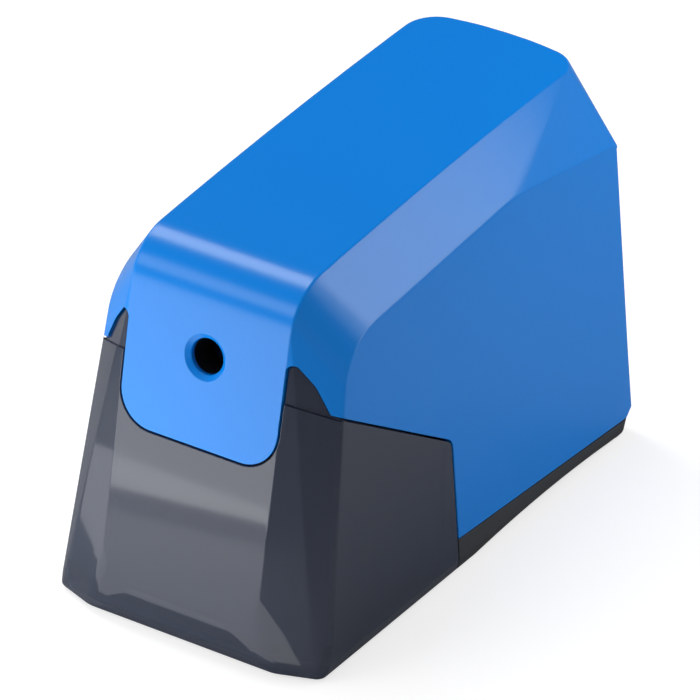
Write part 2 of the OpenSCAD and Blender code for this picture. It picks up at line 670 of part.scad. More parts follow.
module motor_plate() color("#a7abb0") on_pencil_axis(motor_plate_s) difference() {
    plate(-gear_plate_x, gear_plate_x, 1 - gear_plate_up, motor_plate_down, motor_plate_t, 5);
    translate([0, 0, -1]) {
        translate([motor_at[0], motor_at[1], 0]) cylinder(h = 4, r = motor_boss_r);
        for (side = [-1, 1]) translate([motor_at[0] + side * motor_screw_off, motor_at[1], 0])
            cylinder(h = 4, r = screw_r);
        translate([idler_at[0], idler_at[1], 0]) cylinder(h = 4, r = idler_pin_r);
        for (p = standoffs) translate([p[0], p[1], 0]) cylinder(h = 4, r = screw_r + 0.25);
        translate([shaft_r * 2, -18, 0]) cylinder(h = 4, r = 3);
    }
}

module plate_screws() color("#8f9398") on_pencil_axis(motor_s) for (p = standoffs)
    translate([p[0], p[1], 0]) rotate([180, 0, 0]) screw(plate_screw_len, screw_r, small_head);

module motor_can() color("#b4b8bc") on_pencil_axis(motor_s) translate([motor_at[0], motor_at[1], 0]) difference() {
    union() {
        cylinder(h = 1.5, r1 = motor_r - 1.5, r2 = motor_r);
        translate([0, 0, 1.5]) cylinder(h = motor_len - 1.5, r = motor_r);
        translate([0, 0, -motor_plate_t]) cylinder(h = 3, r = motor_boss_r);
    }
    translate([0, 0, 1.2]) cylinder(h = motor_len, r = motor_r - 1.2);
    translate([0, 0, -5]) cylinder(h = 8, r = motor_shaft_r + running_fit);
    for (side = [-1, 1]) translate([side * motor_screw_off, 0, -1]) cylinder(h = 3, r = screw_r);
    for (side = [-1, 1]) translate([0, side * (motor_r - 1), motor_len * 0.55]) cube([motor_window[0], 4, motor_window[1]], center = true);
}

module motor_end_cap() color("#202226") on_pencil_axis(motor_s + motor_len)
    translate([motor_at[0], motor_at[1], 0]) difference() {
        union() {
            cylinder(h = end_cap_len - 2, r = motor_r);
            cylinder(h = end_cap_len, r = 5.5);
        }
        translate([0, 0, -1]) cylinder(h = end_cap_len - 1, r = motor_shaft_r + running_fit);
        for (side = [-1, 1]) translate([side * 10 - 0.4, -2, -1]) cube([0.8, 4, end_cap_len + 2]);
    }

module motor_terminals() color("#b58b4a") on_pencil_axis(motor_s + motor_len)
    translate([motor_at[0], motor_at[1], 0]) for (side = [-1, 1])
        translate([side * 10 - 0.4, -2, 0]) difference() {
            cube([0.8, 4, end_cap_len + terminal_reach]);
            translate([-1, 2, end_cap_len + terminal_reach / 2]) rotate([0, 90, 0]) cylinder(h = 3, r = 0.5);
        }

module motor_rotor() color("#c9ccd0") on_pencil_axis() translate([motor_at[0], motor_at[1], 0]) {
    translate([0, 0, idler_gear_s - 0.2])
        cylinder(h = motor_s + motor_len + end_cap_len - 2.4 - idler_gear_s, r = motor_shaft_r);
    translate([0, 0, motor_s + 6]) {
        cylinder(h = motor_len - 14, r = 5);
        for (k = [0:2]) rotate(120 * k) intersection() {
            ring(motor_len - 14, motor_r - 3.4, motor_shaft_r);
            translate([0, -3.5, 0]) cube([motor_r, 7, motor_len]);
        }
    }
    translate([0, 0, motor_s + motor_len - 7]) cylinder(h = 5, r = 4);
}

module motor_pinion() color("#c79a4b") on_pencil_axis(idler_gear_s - 0.2)
    translate([motor_at[0], motor_at[1], 0]) difference() {
        gear(motor_pinion_teeth, gear_module, idler_gear_w + 0.7, motor_angle + 180 + 180 / motor_pinion_teeth);
        translate([0, 0, -1]) cylinder(h = 10, r = motor_shaft_r);
    }

module motor_screws() color("#8f9398") on_pencil_axis(motor_plate_s) for (side = [-1, 1])
    translate([motor_at[0] + side * motor_screw_off, motor_at[1], 0]) cylinder(h = motor_plate_t + 1.2, r = screw_r);

// ---- switches ----
module start_lever() color("#e9e6da") on_pencil_axis(guide_end + clearance) difference() {
    union() {
        translate([lever_pivot[0], lever_pivot[1], 0]) cylinder(h = lever_t, r = lever_pin_r + 1.7);
        for (to = [lever_tip, lever_arm]) {
            reach = [to[0] - lever_pivot[0], to[1] - lever_pivot[1]];
            translate([to[0], to[1], 0]) cylinder(h = lever_t, r = lever_tip_r);
            translate([lever_pivot[0], lever_pivot[1], 0]) rotate(atan2(reach[1], reach[0]))
                translate([0, -lever_tip_r, 0]) cube([norm(reach), 2 * lever_tip_r, lever_t]);
        }
    }
    translate([lever_pivot[0], lever_pivot[1], -1]) cylinder(h = lever_t + 2, r = lever_pin_r + running_fit);
}

module start_switch() color("#26282c") on_pencil_axis(frame_s - switch_len) {
    size = [switch_box[1] - switch_box[0], switch_box[3] - switch_box[2], switch_len];
    translate([switch_box[0], switch_box[2], 0]) cube(size);
    translate([lever_arm[0], switch_box[2] - 0.8, switch_len - 1.8]) rotate([-90, 0, 0]) cylinder(h = 2, r = 1);
}

module interlock_plunger() color("#e9e6da") on_pencil_axis(bulkhead_s - bin_back_gap + clearance)
    translate([plunger_at[0], plunger_at[1], 0]) cylinder(h = plunger_len, r = plunger_r);

module interlock_switch() color("#26282c") on_pencil_axis(bulkhead_s + plate_t)
    translate([plunger_at[0], plunger_at[1], 0]) difference() {
        translate([-switch_side / 2, -switch_side / 2, 0]) cube([switch_side, switch_side, plunger_len]);
        translate([0, 0, -1]) cylinder(h = plunger_len - 0.5, r = plunger_r + clearance);
    }

// ---- board, screws and gland ----
module rectifier_board() color("#2f6b3c") difference() {
    translate([-board_w / 2, board_y - board_len / 2, board_z]) cube([board_w, board_len, board_t]);
    board_holes() translate([0, 0, floor_top]) cylinder(h = 20, r = board_screw_r + running_fit);
}

module board_parts() color("#3a3c41") {
    top = board_z + board_t;
    for (k = [0:3]) translate([-8 + diode_pitch * k, board_y - 9, top + diode_r]) rotate([-90, 0, 0]) {
        cylinder(h = diode_len, r = diode_r);
        translate([0, 0, -diode_r]) cylinder(h = diode_len + 2 * diode_r, r = lead_r);
    }
    translate([6, board_y + 6, top]) cylinder(h = capacitor_h, r = capacitor_r);
    translate([-12, board_y + 3, top]) difference() {
        cube(terminal_box);
        for (k = [1, 3]) translate([k * terminal_box[0] / 4, terminal_box[1] / 2, 3])
            cylinder(h = terminal_box[2], r = screw_r);
    }
}

module board_screws() color("#8f9398") board_holes() translate([0, 0, board_z + board_t]) rotate([180, 0, 0])
    screw(board_screw_depth + board_t, board_screw_r, board_head);

module frame_screws() color("#8f9398") flange_holes() translate([0, 0, floor_top + flange_t]) rotate([180, 0, 0])
    screw(frame_screw_len, screw_r, screw_head);

module housing_screws() color("#8f9398") post_places() translate([0, 0, floor_top - floor_t])
    screw(housing_screw_len, screw_r, screw_head);

module cord_gland() color("#17181a") translate([0, half_len, gland_h]) rotate([90, 0, 0]) {
    translate([0, 0, gland_sink]) ring(wall + collar_t, gland_r, cord_bore_r);
    translate([0, 0, wall + gland_sink]) ring(collar_t, gland_r + 1.4, cord_bore_r);
}

// ---- drawing ----
base();
rubber_feet();
housing();
shavings_bin();
pencil_guide();
drive_frame();
ring_gear();
front_bearing();
rear_bearing();
cutter_carrier();
cutter_axle();
helical_cutter();
cutter_pinion();
drive_gear();
shaft_clip();
idler_gear();
idler_pin();
motor_plate();
plate_screws();
motor_can();
motor_end_cap();
motor_terminals();
motor_rotor();
motor_pinion();
motor_screws();
start_lever();
start_switch();
interlock_plunger();
interlock_switch();
rectifier_board();
board_parts();
board_screws();
frame_screws();
housing_screws();
cord_gland();
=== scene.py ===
import math

import bmesh
import bpy
from mathutils import Matrix, Vector
from mathutils.bvhtree import BVHTree


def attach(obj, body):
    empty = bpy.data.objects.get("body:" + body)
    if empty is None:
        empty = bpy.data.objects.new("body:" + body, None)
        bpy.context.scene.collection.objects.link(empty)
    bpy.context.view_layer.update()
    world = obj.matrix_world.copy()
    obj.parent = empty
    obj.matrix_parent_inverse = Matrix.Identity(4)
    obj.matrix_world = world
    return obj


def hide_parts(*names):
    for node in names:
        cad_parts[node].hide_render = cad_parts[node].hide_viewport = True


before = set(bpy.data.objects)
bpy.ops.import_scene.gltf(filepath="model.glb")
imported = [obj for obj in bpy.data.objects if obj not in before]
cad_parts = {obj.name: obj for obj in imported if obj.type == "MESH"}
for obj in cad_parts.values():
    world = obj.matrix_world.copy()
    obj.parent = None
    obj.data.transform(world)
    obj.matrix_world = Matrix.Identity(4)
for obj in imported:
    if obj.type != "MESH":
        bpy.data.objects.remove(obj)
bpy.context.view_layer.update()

# Compact electric desktop pencil sharpener: a moulded housing with a pencil mouth in its leaning front,
# a smoke-coloured shavings bin that slides out below it, and a dark base. Sizes are in millimetres until
# a mesh is made; places of lamps and camera are in metres.
MM = 0.001

# ---------------------------------------------------------------- the form
HALF_LEN = 70.0                             # half of the body's length
BODY_W = 75.0                               # width at the foot
BODY_H = 98.6                               # height at the rear of the roof
FRONT_H = 92.5                              # height where the roof would meet the front
LEAN_ANGLE = math.radians(11.6)             # how far the front and the pencil axis lean
LEAN = math.tan(LEAN_ANGLE)
DRAFT = math.tan(math.radians(3.87))        # the sides lean in by this much
CROWN_HALF = 21.9                           # half width of the roof and of the front panel
CROWN_RISE = 4.8                            # bow of the roof line
FRONT_BEND = 14.0                           # radius from the front panel to the roof
PANEL_FOOT = 9.8                            # height of the front panel's lower edge
PANEL_CORNER = 9.0                          # radius of the panel's lower corners
SETBACK = 8.6                               # from the front panel back to the side's front edge
SIDE_TOP = (79.9, 85.4, 78.7)               # height of the side's upper edge at its front, middle and rear
REAR_BOW = 3.4                              # bow of the rear wall in plan
EDGE_LIFT = 0.8                             # gap under the body's edge
TOE_HALF = 24.0                             # half width of the foot's straight front
TOE_BACK = 5.0                              # how far the foot's corners are set back
CREASE_R = 1.0                              # radius along every crease
WALL = 2.2
SHUT = 0.5                                  # width of the shut line between housing and bin
MOUTH_H = 71.1                              # height of the pencil mouth
BIN_REAR = -8.5                             # where the bin ends behind
BIN_SIDE_REAR_H = 35.5                      # height of the bin's side at its rear
BIN_SIDE_FRONT_H = 62.2                     # height of the bin's side below the ears
BULKHEAD = 55.77                            # front of the drive frame, behind the mouth along the axis
OPEN = 300.0                                # outlines that are open at an end run on to here


def front_y(z):
    """Place of the leaning front at a height."""
    return -HALF_LEN + (z - PANEL_FOOT) * LEAN


MOUTH = Vector((0.0, front_y(MOUTH_H), MOUTH_H))
# frame of the pencil axis: its Z runs in from the mouth
PENCIL_AXIS = Matrix.Translation(MOUTH * MM) @ Matrix.Rotation(math.radians(-90) - LEAN_ANGLE, 4, "X")

# Floor plate of the base, and where posts, feet, frame and board stand on it
FLOOR_TOP, FLOOR_T = 5.4, 2.0
CLEAR = 0.3                                 # gap between the bin and the floor plate
FRAME_GAP = 1.5
POST_X, POST_BEHIND_BIN, POST_FROM_REAR = 29.4, 12.5, 24.0
FOOT_X, FOOT_FROM_FRONT, FOOT_FROM_REAR = 26.5, 15.0, 12.0
FLANGE_X, FLANGE_REACH = 16.0, 15.6
BOARD_X, BOARD_Y = 14.0, 10.0
GEAR_FOOT = MOUTH.y + (BULKHEAD + FRAME_GAP) / math.cos(LEAN_ANGLE) - (MOUTH_H - FLOOR_TOP) * LEAN
PLATE_HALF = (BODY_W - 2 * WALL - 2 * DRAFT * EDGE_LIFT - 1.6) / 2
PLATE_FRONT = -HALF_LEN + WALL + 1.2
PLATE_CORNER = 9.0
POSTS = [(x, y) for x in (-POST_X, POST_X) for y in (BIN_REAR + POST_BEHIND_BIN, HALF_LEN - POST_FROM_REAR)]
FEET = [(x, y) for x in (-FOOT_X, FOOT_X) for y in (-HALF_LEN + FOOT_FROM_FRONT, HALF_LEN - FOOT_FROM_REAR)]
FLANGE = [(x, GEAR_FOOT + FLANGE_REACH) for x in (-FLANGE_X, FLANGE_X)]
BOARD_PINS = [(x, HALF_LEN - POST_FROM_REAR + y) for x in (-BOARD_X, BOARD_X) for y in (-BOARD_Y, BOARD_Y)]


def rounded(points, steps=12):
    """Outline with its corners rounded; each point is (a, b, radius)."""
    out = []
    n = len(points)
    for i, (x, y, r) in enumerate(points):
        c = Vector((x, y))
        if r == 0:
            out.append(c)
            continue
        p = Vector(points[i - 1][:2])
        q = Vector(points[(i + 1) % n][:2])
        u = (p - c).normalized()
        v = (q - c).normalized()
        half = math.acos(max(-1, min(1, u.dot(v)))) / 2
        centre = c + (u + v).normalized() * (r / math.sin(half))
        a = c + u * (r / math.tan(half)) - centre
        b = c + v * (r / math.tan(half)) - centre
        start = math.atan2(a.y, a.x)
        turn = math.atan2(a.x * b.y - a.y * b.x, a.dot(b))
        out += [centre + Vector((math.cos(start + turn * k / steps), math.sin(start + turn * k / steps))) * r
                for k in range(steps + 1)]
    return out


def crossings(outline, axis, value):
    """Largest other coordinate where an outline crosses a value along one axis."""
    best = None
    for p, q in zip(outline, outline[1:] + outline[:1]):
        a, b = p[axis], q[axis]
        if (a - value) * (b - value) <= 0 and a != b:
            k = (value - a) / (b - a)
            w = p[1 - axis] + (q[1 - axis] - p[1 - axis]) * k
            best = w if best is None else max(best, w)
    return best


def inset(outline, t):
    """Outline moved inwards by t, for a convex outline that runs anticlockwise or clockwise."""
    if t == 0:
        return outline
    n = len(outline)
    area = sum(outline[i - 1].x * outline[i].y - outline[i].x * outline[i - 1].y for i in range(n))
    side = 1 if area > 0 else -1
    out = []
    for i in range(n):
        e0 = (outline[i] - outline[i - 1]).normalized()
        e1 = (outline[(i + 1) % n] - outline[i]).normalized()
        n0 = Vector((-e0.y, e0.x)) * side
        n1 = Vector((-e1.y, e1.x)) * side
        out.append(outline[i] + (n0 + n1) * (t / (1 + n0.dot(n1))))
    return out


def crown_line(k):
    """Point of the roof line, k from 0 at the front to 1 at the rear."""
    y0 = front_y(FRONT_H)
    return y0 + k * (HALF_LEN - y0), FRONT_H + k * (BODY_H - FRONT_H) + CROWN_RISE * k * (1 - k)


def body_points(t=0.0):
    """Points whose hull is the body's outer form, or the space inside walls of thickness t."""
    pts = []
    # slanted faces meet in the crease, so it moves in by less than the walls do
    half = CROWN_HALF - 0.4 * t
    low = EDGE_LIFT + 1.2
    side = inset(rounded(
        [(front_y(PANEL_FOOT), PANEL_FOOT, 0), (front_y(FRONT_H), FRONT_H, FRONT_BEND)]
        + [crown_line(k / 7) + (0,) for k in range(1, 7)]
        + [(HALF_LEN, BODY_H, 2.5), (HALF_LEN, low, 0)], 20), t)
    rear = HALF_LEN - REAR_BOW - t
    plan = rounded([(-half, -OPEN, 0), (half, -OPEN, 0), (half, rear, 8), (0, HALF_LEN - t, 80),
                    (-half, rear, 8)], 14)
    foot_h = PANEL_FOOT + t
    panel = rounded([(0, foot_h, 0), (half, foot_h, PANEL_CORNER), (half, OPEN, 0), (0, OPEN, 0)], 12)
    # the roof gets more points near its rear, where it narrows
    dense = list(side)
    for p, q in zip(side, side[1:]):
        if p.y > 80 and q.y > 80 and (q - p).length > 3 and q.x > 50:
            dense += [p.lerp(q, k / 8) for k in range(1, 8)]
    for p in dense:
        w = min(crossings(plan, 1, p.x) or 0.0, crossings(panel, 1, max(p.y, foot_h + 0.001)) or half)
        pts += [(w, p.x, p.y), (-w, p.x, p.y)]
    # front panel, then the bowed rear wall
    for p in panel[1:-2]:
        pts += [(s * p.x, front_y(p.y) + t * 1.02, p.y) for s in (-1, 1)]
    for p in plan[2:]:
        top = crossings(side, 0, min(p.y, HALF_LEN - t - 0.001))
        pts += [(p.x, p.y, z) for z in (low + t, top)]
    # front and upper edge of the side, which leans in by the draft
    edge_front, edge_middle, edge_rear = SIDE_TOP
    edge = inset(rounded([
        (front_y(EDGE_LIFT) + SETBACK, EDGE_LIFT, 0), (front_y(edge_front) + SETBACK, edge_front, 15),
        (HALF_LEN / 3, edge_middle, 60), (HALF_LEN - 2.6, edge_rear, 1.5), (HALF_LEN - 1, EDGE_LIFT, 0)], 18),
        0.45 * t)
    start = EDGE_LIFT + t + 5
    for p, q in zip(edge, edge[1:] + edge[:1]):
        if p.y >= start:
            pts += [(s * (BODY_W / 2 - t - DRAFT * p.y), p.x, p.y) for s in (-1, 1)]
        if (p.y - start) * (q.y - start) < 0:
            m = p.lerp(q, (start - p.y) / (q.y - p.y))
            pts += [(s * (BODY_W / 2 - t - DRAFT * m.y), m.x, m.y) for s in (-1, 1)]
    w = BODY_W / 2 - DRAFT * EDGE_LIFT
    # two outlines of the foot: height, inset, set back, half of the straight front, corners set back, radius
    for z, grow, step, straight, back, r in ((EDGE_LIFT + t + 2.2, t, 0, TOE_HALF, TOE_BACK, 5),
                                             (EDGE_LIFT + t, t + 0.4, 0.5, TOE_HALF + 2, TOE_BACK - 1, 3.2)):
        toe = -HALF_LEN + 0.2 + step
        foot = inset(rounded([
            (-w, toe + back, r), (-straight, toe, 3 * r), (straight, toe, 3 * r), (w, toe + back, r),
            (w, HALF_LEN - 1, 5), (0, HALF_LEN, 0), (-w, HALF_LEN - 1, 5)], 12), grow)
        pts += [(p.x, p.y, z) for p in foot]
    return pts


# ---------------------------------------------------------------- mesh helpers
SURFACE = {}                    # search tree, mesh and vertex normals of each convex form
KEPT = ("outer", "inner")       # forms that are cut with more than once


def new_object(name, bm):
    """Object from a bmesh, linked to the scene."""
    mesh = bpy.data.meshes.new(name)
    bm.to_mesh(mesh)
    bm.free()
    obj = bpy.data.objects.new(name, mesh)
    bpy.context.scene.collection.objects.link(obj)
    return obj


def hull(points):
    """Convex form round points, as a bmesh with flat faces merged."""
    bm = bmesh.new()
    for p in points:
        bm.verts.new(Vector(p) * MM)
    bmesh.ops.remove_doubles(bm, verts=bm.verts, dist=0.02 * MM)
    made = bmesh.ops.convex_hull(bm, input=bm.verts)
    spare = made["geom_interior"] + made["geom_unused"]
    loose = list({v for v in spare if isinstance(v, bmesh.types.BMVert)})
    bmesh.ops.delete(bm, geom=loose, context="VERTS")
    bmesh.ops.dissolve_limit(bm, angle_limit=math.radians(0.35), verts=bm.verts, edges=bm.edges)
    bmesh.ops.recalc_face_normals(bm, faces=bm.faces)
    bm.verts.index_update()
    bm.edges.index_update()
    bm.faces.index_update()
    return bm


def faces_round(v):
    """Loops of a vertex in order, each followed by the edge to the next face."""
    start = loop = v.link_loops[0]
    out = []
    while True:
        out.append((loop.face, loop.link_loop_prev.edge))
        loop = loop.link_loop_prev.link_loop_radial_next
        if loop == start:
            return out


def round_hull(name, points, radius, sharp=9.0, segments=4):
    """Convex form grown by a radius, so that every crease is round. Keeps its exact normals for shading."""
    src = hull(points)
    r = radius * MM
    crease = {e.index for e in src.edges if e.calc_face_angle() > math.radians(sharp)}
    bm = bmesh.new()
    normals = []

    def put(p, n):
        normals.append(n)
        return bm.verts.new(p + n * r)

    group = {}      # (vertex, face) -> number of its smooth fan
    fan = {}        # (vertex, fan) -> (new vertex, normal)
    arcs = {}       # (vertex, fan, fan) -> new vertices from one to the other

    def arc(v, f0, f1):
        g0, g1 = group[v.index, f0.index], group[v.index, f1.index]
        if g0 == g1:
            return [fan[v.index, g0][0]]
        if (v.index, g0, g1) not in arcs:
            (v0, n0), (v1, n1) = fan[v.index, g0], fan[v.index, g1]
            mid = [put(v.co, n0.slerp(n1, k / segments)) for k in range(1, segments)]
            arcs[v.index, g0, g1] = [v0] + mid + [v1]
            arcs[v.index, g1, g0] = [v1] + mid[::-1] + [v0]
        return arcs[v.index, g0, g1]

    for v in src.verts:
        ring = faces_round(v)
        breaks = [i for i, (_, e) in enumerate(ring) if e.index in crease]
        first = breaks[0] + 1 if len(breaks) > 1 else 0
        number = 0
        for i in range(len(ring)):
            f, e = ring[(first + i) % len(ring)]
            group[v.index, f.index] = number
            if len(breaks) > 1 and e.index in crease and i < len(ring) - 1:
                number += 1
        for g in range(number + 1):
            members = [f for f, _ in ring if group[v.index, f.index] == g]
            n = sum((f.normal * f.calc_area() for f in members), Vector()).normalized()
            fan[v.index, g] = (put(v.co, n), n)
        if number > 1:
            n = sum((fan[v.index, g][1] for g in range(number + 1)), Vector()).normalized()
            centre = put(v.co, n)
            for i, (f, e) in enumerate(ring):
                if e.index in crease:
                    line = arc(v, f, ring[(i + 1) % len(ring)][0])
                    for p, q in zip(line, line[1:]):
                        bm.faces.new([centre, p, q])
    for f in src.faces:
        bm.faces.new([fan[v.index, group[v.index, f.index]][0] for v in f.verts])
    for e in src.edges:
        if e.index in crease:
            f0, f1 = e.link_faces
            a, b = arc(e.verts[0], f0, f1), arc(e.verts[1], f0, f1)
            for k in range(segments):
                corners = ((a, k), (a, k + 1), (b, k + 1), (b, k))
                quad = list(dict.fromkeys(row[min(i, len(row) - 1)] for row, i in corners))
                if len(quad) > 2:
                    bm.faces.new(quad)
    src.free()
    bmesh.ops.recalc_face_normals(bm, faces=bm.faces)
    bmesh.ops.triangulate(bm, faces=bm.faces)
    obj = new_object(name, bm)
    SURFACE[name] = (BVHTree.FromPolygons([v.co for v in obj.data.vertices],
                                          [tuple(p.vertices) for p in obj.data.polygons]), obj.data, normals)
    return obj


def prism(name, outline, axis, lo, hi):
    """Solid of an outline swept along Y ("y", outline in X and Z) or X ("x", outline in Y and Z)."""
    bm = bmesh.new()
    rows = []
    for d in (lo, hi):
        ring = [(p.x, d, p.y) if axis == "y" else (d, p.x, p.y) for p in outline]
        rows.append([bm.verts.new(Vector(p) * MM) for p in ring])
    n = len(outline)
    for i in range(n):
        bm.faces.new([rows[0][i], rows[0][(i + 1) % n], rows[1][(i + 1) % n], rows[1][i]])
    bm.faces.new(rows[0][::-1])
    bm.faces.new(rows[1])
    bmesh.ops.recalc_face_normals(bm, faces=bm.faces)
    return new_object(name, bm)


def lathe(name, profile, matrix, steps=96):
    """Turned solid with flat ends: profile is a list of (radius, height)."""
    bm = bmesh.new()
    turns = [2 * math.pi * k / steps for k in range(steps)]
    rings = [[bm.verts.new(matrix @ (Vector((r * math.cos(a), r * math.sin(a), h)) * MM)) for a in turns]
             for r, h in profile]
    for a, b in zip(rings, rings[1:]):
        for k in range(steps):
            bm.faces.new([a[k], a[(k + 1) % steps], b[(k + 1) % steps], b[k]])
    bm.faces.new(rings[0][::-1])
    bm.faces.new(rings[-1])
    bmesh.ops.recalc_face_normals(bm, faces=bm.faces)
    return new_object(name, bm)


def cut(target, *steps):
    """Applies (operation, cutter) pairs to a mesh with exact booleans and drops the cutters."""
    for operation, cutter in steps:
        mod = target.modifiers.new("cut", "BOOLEAN")
        mod.operation = operation
        mod.solver = "EXACT"
        mod.object = cutter
        dg = bpy.context.evaluated_depsgraph_get()
        mesh = bpy.data.meshes.new_from_object(target.evaluated_get(dg))
        target.modifiers.clear()
        target.data = mesh
        if cutter.name not in KEPT:
            bpy.data.objects.remove(cutter)
    return target


def soften(obj, reference, size=0.22, segments=2):
    """Small radius on the edges where a cut meets the reference surface."""
    tree = SURFACE[reference][0]
    bm = bmesh.new()
    bm.from_mesh(obj.data)
    bmesh.ops.remove_doubles(bm, verts=bm.verts, dist=0.01 * MM)
    bmesh.ops.dissolve_limit(bm, angle_limit=math.radians(0.4), verts=bm.verts, edges=bm.edges)

    def on_surface(co):
        return tree.find_nearest(co)[3] < 0.03 * MM

    near = {v: on_surface(v.co) for v in bm.verts}
    outer_face = {f: all(near[v] for v in f.verts) and on_surface(f.calc_center_median()) for f in bm.faces}
    edges = [e for e in bm.edges if e.is_manifold and near[e.verts[0]] and near[e.verts[1]]
             and outer_face[e.link_faces[0]] != outer_face[e.link_faces[1]]
             and e.calc_face_angle() > math.radians(40)]
    bmesh.ops.bevel(bm, geom=edges, offset=size * MM, segments=segments, profile=0.5,
                    affect="EDGES", clamp_overlap=False)
    bmesh.ops.triangulate(bm, faces=bm.faces)
    bm.to_mesh(obj.data)
    bm.free()


def copy_of(obj, name):
    """Copy of an object with a mesh of its own."""
    new = bpy.data.objects.new(name, obj.data.copy())
    bpy.context.scene.collection.objects.link(new)
    return new


def shade_like(obj, reference, reach=0.03, match=35):
    """Smooth shading from a reference surface where the mesh lies on it; flat elsewhere."""
    tree, ref, normals = SURFACE[reference]
    mesh = obj.data
    mesh.shade_smooth()
    limit = math.cos(math.radians(match))
    smooth = []
    for v in mesh.vertices:
        hit, _, face, dist = tree.find_nearest(v.co)
        if dist > reach * MM:
            smooth.append(None)
            continue
        ids = ref.polygons[face].vertices
        w = weights(hit, [ref.vertices[k].co for k in ids])
        smooth.append(sum((normals[k] * a for k, a in zip(ids, w)), Vector()).normalized())
    out = []
    for poly in mesh.polygons:
        for li in poly.loop_indices:
            m = smooth[mesh.loops[li].vertex_index]
            out.append(m if m is not None and m.dot(poly.normal) > limit else poly.normal)
    mesh.normals_split_custom_set(out)


def weights(p, corners):
    """Share of each corner of a triangle at a point in it."""
    a, b, c = corners
    v0, v1, v2 = b - a, c - a, p - a
    d00, d01, d11, d20, d21 = v0.dot(v0), v0.dot(v1), v1.dot(v1), v2.dot(v0), v2.dot(v1)
    den = d00 * d11 - d01 * d01
    if abs(den) < 1e-30:
        return 1.0, 0.0, 0.0
    v = (d11 * d20 - d01 * d21) / den
    w = (d00 * d21 - d01 * d20) / den
    return 1 - v - w, v, w


def block(name, lo, hi, matrix=Matrix()):
    """Box between two corners in a frame of its own."""
    bm = bmesh.new()
    bmesh.ops.create_cube(bm, size=MM)
    size = Vector(hi) - Vector(lo)
    centre = (Vector(lo) + Vector(hi)) / 2
    bm.transform(matrix @ Matrix.Translation(centre * MM) @ Matrix.Diagonal((*size, 1)))
    return new_object(name, bm)


def plate(name, half, y0, y1, z0, z1, radius):
    """Upright slab whose front corners follow the body's foot."""
    corner = y0 + TOE_BACK
    plan = rounded([(-half, corner, 5), (-TOE_HALF, y0, 16), (TOE_HALF, y0, 16), (half, corner, 5),
                    (half, y1, radius), (-half, y1, radius)], 10)
    bm = bmesh.new()
    low, top = [[bm.verts.new(Vector((q.x, q.y, z)) * MM) for q in plan] for z in (z0, z1)]
    for i in range(len(plan)):
        j = (i + 1) % len(plan)
        bm.faces.new([low[i], low[j], top[j], top[i]])
    bm.faces.new(low[::-1])
    bm.faces.new(top)
    return new_object(name, bm)


def pins(name, places, radius, z0, z1, steps=40):
    """Upright round bars at several places, as one mesh."""
    bm = bmesh.new()
    for x, y in places:
        middle = Matrix.Translation(Vector((x, y, (z0 + z1) / 2)) * MM)
        bmesh.ops.create_cone(bm, cap_ends=True, segments=steps, radius1=radius * MM, radius2=radius * MM,
                              depth=(z1 - z0) * MM, matrix=middle)
    return new_object(name, bm)


# ---------------------------------------------------------------- shut lines
TONGUE_FOOT = 49.1          # lower edge of the housing's tongue in front
TONGUE_CORNER = 9.5
EAR_FOOT, EAR_BEND, EAR_TIP = 63.3, 70.3, 77.0      # heights along a bin ear
EAR_FOOT_W, EAR_BEND_W, EAR_TIP_W = 8.7, 5.3, 0.3   # and how far it reaches out from the crown's crease
EAR_SLOPE = 0.42            # fall of the shut line beside the ears
SEAM_H = 9.0                # seam above the base, at the bin's rear
SEAM_FALL = 0.058
FAR = 200.0                 # well outside the body


def bin_front_outline(g=0.0):
    """Shut line between bin and housing seen from the front, moved outwards by g."""
    e = CROWN_HALF
    wide = 60.0
    beside = EAR_FOOT - EAR_SLOPE * (wide - e - EAR_FOOT_W)
    right = [(e + EAR_FOOT_W, EAR_FOOT, 0.6), (e + EAR_BEND_W, EAR_BEND, 14), (e + EAR_TIP_W, EAR_TIP, 0.9),
             (e + 0.1, TONGUE_FOOT, TONGUE_CORNER)]
    left = [(-x, z, r) for x, z, r in reversed(right)]
    return inset(rounded([(-wide, -60, 0), (wide, -60, 0), (wide, beside, 0)] + right + left
                         + [(-wide, beside, 0)], 12), -g)


def bin_side_outline(g=0.0):
    """Shut line seen from the side, moved outwards by g."""
    crease = front_y(BIN_SIDE_FRONT_H) + SETBACK
    return inset(rounded([(-FAR, -60, 0), (BIN_REAR + 0.7, -60, 0), (BIN_REAR, BIN_SIDE_REAR_H, 3),
                          (crease, BIN_SIDE_FRONT_H, 0), (crease, FAR, 0), (-FAR, FAR, 0)], 10), -g)


def seam_outline(g=0.0):
    """What lies below the seam between housing and base, lowered by g."""
    front = BIN_REAR + SHUT
    low = SEAM_H - SEAM_FALL * (FAR - BIN_REAR)
    return [Vector((front, -60)), Vector((FAR, -60)), Vector((FAR, low - g)), Vector((front, SEAM_H - g))]


# ---------------------------------------------------------------- materials
def colour(code):
    """sRGB hex code as linear colour."""
    vals = [int(code[i:i + 2], 16) / 255 for i in (1, 3, 5)]
    return tuple(v / 12.92 if v <= 0.04045 else ((v + 0.055) / 1.055) ** 2.4 for v in vals) + (1.0,)


def add(tree, kind, inputs=None, **settings):
    """Adds one node with its settings. An input takes a value or another node's output."""
    node = tree.nodes.new(kind)
    for key, value in settings.items():
        setattr(node, key, value)
    for socket, value in (inputs or {}).items():
        if isinstance(value, bpy.types.NodeSocket):
            tree.links.new(value, node.inputs[socket])
        else:
            node.inputs[socket].default_value = value
    return node


